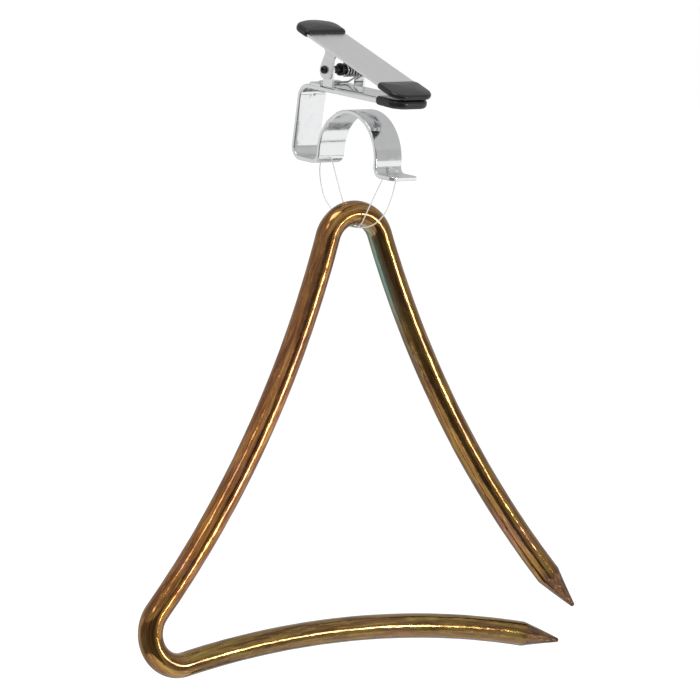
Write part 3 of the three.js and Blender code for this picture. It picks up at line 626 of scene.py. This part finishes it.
# ---- Pivot pin and sleeve ----
# A blackened pin through all four ears is the hinge, its ends turned in round a short recess. A black
# plastic spool on it, with one flange, keeps the spring's coil in place.
sleeve_black, tree, shader = principled("sleeve_plastic", Base_Color=(0.008, 0.008, 0.009), Roughness=0.42)
play = uneven(tree, add(tree, "TexCoord").outputs["Object"], 700, 0.32, 0.5)
varied(tree, shader, play, (0.006, 0.006, 0.007), (0.014, 0.014, 0.016), 0.2, 0.0001)

lever_half, pin_proud, recess_depth = 0.0117, 0.0013, 0.0012
pin, recess, pin_edge, stub = 0.0018, 0.0008, 0.0004, lever_half + pin_proud
end_line = [(pin - pin_edge * (1 - cos(a)), stub - pin_edge * (1 - sin(a))) for a in quarter]
end_line += [(recess + pin_edge * (1 - sin(a)), stub - pin_edge * (1 - cos(a))) for a in quarter]
end_line += [(recess, stub - recess_depth), (0, stub - recess_depth)]
far_end = [(radius, reach, 0) for radius, reach in end_line]
near_end = [(radius, -reach, 0) for radius, reach in reversed(end_line)]
form = turned([*near_end, *far_end], (0, 1, 0), (0, 0, 0))
pin_piece = object_from(form, "blackened_pin", sleeve_black)
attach(pin_piece, "clip_base")
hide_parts("pivot_pin")

spool_bore, barrel, flange, spool_edge = 0.00205, 0.00255, 0.00305, 0.00015
flange_near, flange_far, spool_end = -0.0028, -0.0015, 0.00875
spool_line = [
    (spool_bore, flange_near, 0), (flange - spool_edge, flange_near, 0),
    (flange, flange_near + spool_edge, 0), (flange, flange_far - spool_edge, 0),
    (flange - spool_edge, flange_far, 0), (barrel, flange_far, 0),
    (barrel, spool_end - spool_edge, 0), (barrel - spool_edge, spool_end, 0),
    (spool_bore, spool_end, 0), (spool_bore, flange_near, 0),
]
spool = object_from(turned(spool_line, (0, 1, 0), (0, 0, 0)), "spring_spool", sleeve_black)
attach(spool, "clip_base")
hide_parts("pivot_sleeve")


# ---- Torsion spring ----
# Drawn spring wire, 0.9 mm, wound four turns round the sleeve. One foot rests on the fixed jaw and the
# other presses up under the lever. The coil winds up as the lever turns, and each foot stays with its jaw.
wire, wire_gap, coil_slack = 0.00045, 0.0003, 0.00025
closing = radians(16.5064)
coil_radius, coil_pitch, coil_turns = barrel + coil_slack + wire, 0.00178, 4
fixed_half, lever_under = 0.01025, 0.0092
coil_end = fixed_half - sheet - wire_gap - 2 * wire
low_foot_back, high_foot_back, foot_bend = 0.0054, 0.01, 0.0012
low_foot_reach, high_foot_reach = 0.009, 0.007
low_corner = Vector((-low_foot_back, jaw_top + wire_gap + wire))
high_corner = Matrix.Rotation(-closing, 2) @ Vector((-high_foot_back, lever_under - wire_gap - wire))


def touching(spot, way):
    """The angle at which a straight wire from the spot meets the coil."""
    return atan2(spot.y, spot.x) + way * acos(coil_radius / spot.length)


first, last = touching(low_corner, 1), touching(high_corner, -1)
while last < first:
    last += tau
swept = last - first + tau * coil_turns
coil_rise = coil_pitch * swept / tau
steps = round(swept / tau * 36)
coil = []
for i in range(steps + 1):
    angle = first + swept * i / steps
    height = coil_end - coil_rise * i / steps
    coil.append(Vector((coil_radius * cos(angle), height, coil_radius * sin(angle))))


def spring_leg(corner, depth, reach, joint):
    """From the foot's tip, round its corner and up to the coil."""
    bend = Vector((corner.x, depth, corner.y))
    tip = bend - Vector((0, reach, 0))
    into, away = bend - Vector((0, foot_bend, 0)), bend + (joint - bend).normalized() * foot_bend
    curve = [(into.lerp(bend, t / 8)).lerp(bend.lerp(away, t / 8), t / 8) for t in range(9)]
    run = [away.lerp(joint, t / 6) for t in range(1, 6)]
    return [tip, tip.lerp(into, 0.03), tip.lerp(into, 0.5), *curve, *run]


spring_wire, tree, shader = principled(
    "spring_wire", Base_Color=(0.55, 0.55, 0.56), Metallic=1.0, Roughness=0.2,
)
play = uneven(tree, marked(tree, (60, 2600, 2600)), 1.0, 0.14, 0.32)
varied(tree, shader, play, (0.42, 0.42, 0.43), (0.64, 0.64, 0.65), 0.15, 0.00005)
lower = [*spring_leg(low_corner, coil_end, low_foot_reach, coil[0]), coil[0], coil[1]]
upper = [*spring_leg(high_corner, coil_end - coil_rise, high_foot_reach, coil[-1]), coil[-1], coil[-2]]
across = clip_place.to_3x3() @ Vector((0, 1, 0))
for name, line in (("spring_lower_leg", lower), ("spring_coil", coil), ("spring_upper_leg", upper)):
    line = [clip_place @ spot for spot in line]
    radii = [wire] * len(line)
    spring = object_from(tube_along(line, radii, 14, across), name, spring_wire)
    if name == "spring_coil":
        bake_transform(spring, "clip_base", "clip_lever", start=line[0], end=line[0] - across * coil_rise)
    else:
        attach(spring, "clip_base" if name == "spring_lower_leg" else "clip_lever")
    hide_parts("torsion_spring")


# ---- Lever ----
# Sheet steel, 1.2 mm, with two ears folded down outside the fixed jaw's. The plate's top is satin, with
# the fine grain of the rolled sheet along it.
lever_place = clip_place @ Matrix.Rotation(closing, 4, "Y")
satin, tree, shader = principled(
    "satin_plate", Base_Color=(0.83, 0.83, 0.84), Metallic=1.0, Roughness=0.33,
)
own = add(tree, "TexCoord").outputs["Object"]
turn_back = lever_place.to_3x3().inverted().to_euler()
rolled_way = add(tree, "Mapping", {"Vector": own, "Rotation": turn_back})
stretched = add(tree, "Mapping", {"Vector": rolled_way.outputs[0], "Scale": (12, 900, 900)})
grain = uneven(tree, stretched.outputs[0], 1.0, 0.27, 0.42)
varied(tree, shader, grain, (0.76, 0.76, 0.77), (0.9, 0.9, 0.91), 0.1, 0.00005)
lever = object_from(tumbled("lever", sheet_round, 2), "stamped_lever", satin, flats=True)
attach(lever, "clip_lever")
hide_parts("lever")


# ---- Vinyl caps ----
# Soft black vinyl that the two jaws and the thumb end were dipped in. The dip hangs thicker on top of the
# plates than at their sides, follows the sheet with rounded edges, and has a wet gloss.
def dipped(outline, radii, low, high, rounds, crown, place):
    """A closed skin over a plate's end: its outline with round corners, thickened, rounded above and
    below, and crowned."""
    form = bmesh.new()
    spots = [form.verts.new((x, y, low)) for x, y in outline]
    form.faces.new(spots)
    for spot, radius in zip(spots, radii):
        bmesh.ops.bevel(
            form, geom=[spot], offset=radius, segments=10, profile=0.5, affect="VERTICES", material=-1,
        )
    grown = bmesh.ops.extrude_face_region(form, geom=form.faces[:])
    raised = [part for part in grown["geom"] if isinstance(part, bmesh.types.BMVert)]
    bmesh.ops.translate(form, verts=raised, vec=(0, 0, high - crown - low))
    bmesh.ops.recalc_face_normals(form, faces=form.faces)
    for way, edge_round in zip((1, -1), rounds):
        level = max(form.faces, key=lambda face: way * face.normal.z * face.calc_area())
        round_edges(form, level.edges[:], edge_round, 8)
    top = max(form.faces, key=lambda face: face.normal.z * face.calc_area())
    centre = top.calc_center_bounds()
    share, lifted = 1, 0
    for ring in (0.9, 0.78, 0.64, 0.48, 0.3, 0.12):
        top = bmesh.ops.extrude_discrete_faces(form, faces=[top])["faces"][0]
        move = Matrix.Translation(centre) @ Matrix.Diagonal((ring / share, ring / share, 1, 1))
        bmesh.ops.transform(form, matrix=move @ Matrix.Translation(-centre), verts=top.verts)
        rise = crown * (1 - ring ** 2)
        bmesh.ops.translate(form, verts=top.verts, vec=(0, 0, rise - lifted))
        share, lifted = ring, rise
    bmesh.ops.transform(form, matrix=place, verts=form.verts)
    return form


vinyl, tree, shader = principled("dipped_vinyl", Base_Color=(0.008, 0.008, 0.009), Roughness=0.2)
own = add(tree, "TexCoord").outputs["Object"]
play = uneven(tree, own, 160, 0.16, 0.27)
varied(tree, shader, play, (0.006, 0.006, 0.007), (0.013, 0.013, 0.014), 0.1, 0.0002)


def plate_end(start, end, half):
    return [(start, -half), (end, -half), (end, half), (start, half)]


skin, lever_top, flange_depth = 0.00075, 0.0104, 0.003
lever_tip, lever_butt, fixed_reach = 0.0544, -0.032, 0.054
jaw_dip, thumb_dip = 0.0172, 0.0148
wide, fixed_wide = lever_half + skin, fixed_half + skin
tip, butt, fixed_tip = lever_tip + skin, lever_butt - skin, fixed_reach + skin
shoulder, point, front = butt + 0.004, butt - 0.0004, butt + thumb_dip
thumb_outline = [(shoulder, -wide), (front, -wide), (front, wide), (shoulder, wide), (point, 0)]
# The fixed jaw's last third is set down by a small angle, and its cap with it
droop, droop_from = radians(1.6), 0.0365
set_down = Matrix.Translation((droop_from, 0, jaw_top))
fixed_place = clip_place @ set_down @ Matrix.Rotation(droop, 4, "Y") @ set_down.inverted()
dips = [
    ("lever_jaw_dip", "lever_jaw_cap", "clip_lever", dipped(
        plate_end(tip - jaw_dip, tip, wide), radii=(0.0032, 0.007, 0.007, 0.0032),
        low=lever_under - skin, high=lever_top + 0.0014, rounds=(0.0013, 0.0011), crown=0.0006,
        place=lever_place,
    )),
    ("lever_thumb_dip", "lever_thumb_cap", "clip_lever", dipped(
        thumb_outline, radii=(0.0042, 0.0022, 0.0022, 0.0042, 0.006),
        low=lever_under - skin, high=lever_top + 0.0024, rounds=(0.0019, 0.0012), crown=0.0005,
        place=lever_place,
    )),
    ("fixed_jaw_dip", "fixed_jaw_cap", "clip_base", dipped(
        plate_end(fixed_tip - jaw_dip, fixed_tip, fixed_wide), radii=(0.0022, 0.0067, 0.0067, 0.0022),
        low=jaw_top - flange_depth - skin, high=jaw_top + skin, rounds=(0.0018, 0.002), crown=0,
        place=fixed_place,
    )),
]
for name, node, body, form in dips:
    cap = object_from(form, name, vinyl, flats=True)
    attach(cap, body)
    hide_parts(node)


# ---- Triangle ----
# One bronze rod, 12 mm thick, bent to bowed sides with two round bends, its two ends turned to long
# cones. It was polished nearly free of its hammer marks and then heated, so that brown, gold and orange
# run along it, with blue-green on the inside of the right leg, up to the top bend.
rod_radius = 0.006
corner_spacing, corner_radius, side_radius = 0.206, 0.0158, 0.493
leg_overrun, cone_length, tip_radius = 0.0185, 0.022, 0.0012
hang_angle = radians(2.36427)
depth = corner_spacing * sqrt(3) / 2
side_steps, bend_steps, bar_steps, cone_steps = 150, 40, 520, 16
corners = [
    Vector((0, 0, 0)), Vector((-corner_spacing / 2, 0, -depth)), Vector((corner_spacing / 2, 0, -depth)),
]
middle = sum(corners, Vector()) / 3
bow = sqrt((side_radius + corner_radius) ** 2 - (corner_spacing / 2) ** 2)


def spoke_angle(centre, spot):
    return atan2(spot.z - centre.z, spot.x - centre.x)


def arc(centre, radius, start, turn, steps):
    return [
        centre + Vector((radius * cos(start + turn * i / steps), 0, radius * sin(start + turn * i / steps)))
        for i in range(steps + 1)
    ]


def bowed_side(start, end, before, after):
    """One side between two corners, curved about a centre outside the triangle. Before and after are 1
    where the side runs on past its corner to a free end, and otherwise 0."""
    half = (start + end) / 2
    centre = half + (half - middle).normalized() * bow
    opening, closing_angle = spoke_angle(centre, start), spoke_angle(centre, end)
    turn = atan2(sin(closing_angle - opening), cos(closing_angle - opening))
    extra = leg_overrun / side_radius * (1 if turn > 0 else -1)
    opening -= extra * before
    return arc(centre, side_radius, opening, turn + extra * (before + after), side_steps)


right_leg = bowed_side(corners[2], corners[0], 1, 0)
left_leg = bowed_side(corners[0], corners[1], 0, 0)
foot_bar = bowed_side(corners[1], corners[2], 0, 1)
rod_line = list(right_leg)
for corner, before, after in ((corners[0], right_leg, left_leg), (corners[1], left_leg, foot_bar)):
    start, end = spoke_angle(corner, before[-1]), spoke_angle(corner, after[0])
    rod_line += arc(corner, corner_radius, start, (end - start) % tau, bend_steps)[1:-1] + after
lengths = [0]
for a, b in zip(rod_line, rod_line[1:]):
    lengths.append(lengths[-1] + (b - a).length)
rod_length = lengths[-1]


def rod_at(distance):
    """The place on the rod's middle line at a distance along it."""
    i = next((i for i, length in enumerate(lengths) if length >= distance and i), len(lengths) - 1)
    return rod_line[i - 1].lerp(rod_line[i], (distance - lengths[i - 1]) / (lengths[i] - lengths[i - 1]))


tip_flat = 0.25


def turned_end(distance):
    """The rod's radius at a distance from its end: a rounded tip with a small flat, then a long cone."""
    if distance < tip_radius:
        return tip_radius * (tip_flat + (1 - tip_flat) * sin(acos(1 - distance / tip_radius)))
    if distance < cone_length:
        return tip_radius + (rod_radius - tip_radius) * (distance - tip_radius) / (cone_length - tip_radius)
    return rod_radius


cone = cone_length - tip_radius
end_steps = [0, 0.0001, 0.0003, 0.0006, 0.0009]
end_steps += [tip_radius + cone * i / cone_steps for i in range(cone_steps + 1)]
full_steps = [cone_length + (rod_length - 2 * cone_length) * i / bar_steps for i in range(1, bar_steps)]
distances = end_steps + full_steps + [rod_length - step for step in reversed(end_steps)]
hang = Matrix.Translation(apex) @ Matrix.Rotation(-hang_angle, 4, "Y")
line = [hang @ rod_at(distance) for distance in distances]
radii = [turned_end(min(distance, rod_length - distance)) for distance in distances]
form = tube_along(line, radii, 48, Vector((0, 1, 0)))

# What is left of the hammer marks: very shallow dishes of two sizes, which fade out towards the cones.
# For each size: dishes per metre, a dish's reach as a share of their spacing, its depth, and a shift
dishes = ((110, 0.62, 0.00005, Vector()), (260, 0.5, 0.00002, Vector((0.3, 0.1, 0.2))))
dish_fade = 0.02
along = form.verts.layers.float["along"]
bmesh.ops.recalc_face_normals(form, faces=form.faces)
form.normal_update()
for vert in form.verts:
    to_end = min(vert[along], rod_length - vert[along])
    faded = max(0, min(1, (to_end - cone_length) / dish_fade))
    dish = 0
    for per_metre, reach, deep, shift in dishes:
        nearest = noise.voronoi((vert.co + shift) * per_metre)[0][0]
        dish += deep * max(0, 1 - (nearest / reach) ** 2)
    vert.co += vert.normal * -dish * faded


def ramp_of(tree, value, stops):
    """A colour ramp through the stops, each a position and a colour."""
    made = add(tree, "ValToRGB", {"Fac": value})
    first, last = made.color_ramp.elements
    first.position, last.position = stops[0][0], stops[-1][0]
    first.color, last.color = (*stops[0][1], 1), (*stops[-1][1], 1)
    for position, colour in stops[1:-1]:
        made.color_ramp.elements.new(position).color = (*colour, 1)
    return made.outputs[0]


def between(tree, value, low, high, to_low, to_high):
    made = add(tree, "MapRange", {
        "Value": value, "From Min": low, "From Max": high, "To Min": to_low, "To Max": to_high,
    })
    return made.outputs[0]


def mixed(tree, share, first, second, blend="MIX"):
    made = add(tree, "Mix", {0: share, 6: first, 7: second}, data_type="RGBA", blend_type=blend)
    return made.outputs[2]


# Heat colours: streaks of brown, gold and orange along the rod, with rosy, dark and blue-green places, and
# painted shade along the underside of the bottom bar. Along is the share of the rod's length, and Inside how
# far a place lies towards the triangle's inside
heat_and_shade, given, wanted = group_of(
    "heat_colours_and_painted_shade",
    [("Streaks", "Vector"), ("Place", "Vector"), ("Along", "Float"), ("Inside", "Float")],
    [("Color", "Color"), ("Roughness", "Float")],
)
streaks = add(heat_and_shade, "TexNoise", {
    "Vector": given["Streaks"], "Scale": 1.0, "Detail": 5.0, "Roughness": 0.62, "Distortion": 0.5,
}).outputs["Fac"]
brown = ramp_of(heat_and_shade, streaks, [
    (0.34, (0.15, 0.058, 0.018)), (0.43, (0.22, 0.09, 0.026)), (0.5, (0.33, 0.15, 0.042)),
    (0.57, (0.42, 0.2, 0.055)), (0.64, (0.52, 0.28, 0.08)), (0.74, (0.62, 0.42, 0.15)),
])
leg = ramp_of(heat_and_shade, given["Along"], [
    (0.0, (0.3, 0.24, 0.28)), (0.03, (0.4, 0.34, 0.38)), (0.038, (0.82, 0.9, 0.6)), (0.3, (0.85, 0.92, 0.6)),
    (0.36, (0.95, 0.9, 0.7)), (0.45, (1.04, 0.85, 0.8)), (0.62, (1.14, 0.97, 0.55)), (0.7, (0.8, 1.0, 0.75)),
    (0.962, (0.8, 1.0, 0.75)), (0.97, (0.46, 0.42, 0.42)), (1.0, (0.34, 0.28, 0.3)),
])
toned = mixed(heat_and_shade, 1.0, brown, leg, "MULTIPLY")
patches = add(heat_and_shade, "TexNoise", {"Vector": given["Place"], "Scale": 26.0, "Detail": 3.0}).outputs["Fac"]
rosy = mixed(heat_and_shade, between(heat_and_shade, patches, 0.56, 0.7, 0.0, 0.5), toned, (0.36, 0.15, 0.1, 1))
innermost = between(heat_and_shade, given["Inside"], 0.0042, 0.0059, 0.0, 0.9)
near_bend = ramp_of(heat_and_shade, given["Along"], [
    (0.2, (0, 0, 0)), (0.29, (1, 1, 1)), (0.34, (1, 1, 1)), (0.37, (0, 0, 0)),
])
broken = between(heat_and_shade, patches, 0.4, 0.6, 0.35, 1.0)
teal = product(heat_and_shade, product(heat_and_shade, innermost, near_bend), broken)
# Painted shade: the bottom bar is darkened along its underside, the side away from the triangle's inside
foot = ramp_of(heat_and_shade, given["Along"], [(0.68, (0, 0, 0)), (0.74, (1, 1, 1))])
below = between(heat_and_shade, given["Inside"], -0.001, -0.003, 0.0, 0.6)
painted_shade_under_bar = product(heat_and_shade, foot, below)
flecks = add(heat_and_shade, "TexNoise", {
    "Vector": given["Streaks"], "Scale": 3.1, "Detail": 3.0, "Roughness": 0.7,
}).outputs["Fac"]
golden = mixed(heat_and_shade, between(heat_and_shade, flecks, 0.58, 0.66, 0.0, 0.75), rosy, (0.66, 0.36, 0.1, 1))
darker = mixed(heat_and_shade, between(heat_and_shade, flecks, 0.42, 0.34, 0.0, 0.7), golden, (0.13, 0.05, 0.02, 1))
# The painted shade goes in here, a dark brown over the bar's underside
shaded = mixed(heat_and_shade, painted_shade_under_bar, darker, (0.16, 0.085, 0.025, 1))
heated = mixed(heat_and_shade, teal, shaded, (0.22, 0.42, 0.34, 1))
heat_and_shade.links.new(heated, wanted["Color"])
heat_and_shade.links.new(between(heat_and_shade, streaks, 0.35, 0.7, 0.16, 0.09), wanted["Roughness"])

bronze, tree, shader = principled(
    "heat_coloured_bronze", Base_Color=(0.3, 0.16, 0.05), Metallic=1.0, Roughness=0.22, Coat_Weight=0.4,
    Coat_Roughness=0.08, Coat_IOR=1.7,
)
own = add(tree, "TexCoord").outputs["Object"]
along_rod = add(tree, "Attribute", attribute_name="along").outputs["Fac"]
inside = add(tree, "Attribute", attribute_name="depth").outputs["Fac"]
colours = add(tree, "Group", {
    "Streaks": marked(tree, (38, 420, 420)), "Place": own,
    "Along": between(tree, along_rod, 0, rod_length, 0, 1), "Inside": inside,
}, node_tree=heat_and_shade)
tree.links.new(colours.outputs["Color"], shader.inputs["Base Color"])
tree.links.new(colours.outputs["Roughness"], shader.inputs["Roughness"])
ripple = add(tree, "TexNoise", {
    "Vector": marked(tree, (170, 420, 420)), "Scale": 1.0, "Detail": 1.0, "Distortion": 0.9,
}).outputs["Fac"]
raise_surface(tree, shader, ripple, 0.18, 0.0004)
rod = object_from(form, "hammered_rod", bronze)
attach(rod, "triangle")
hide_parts("triangle_rod")
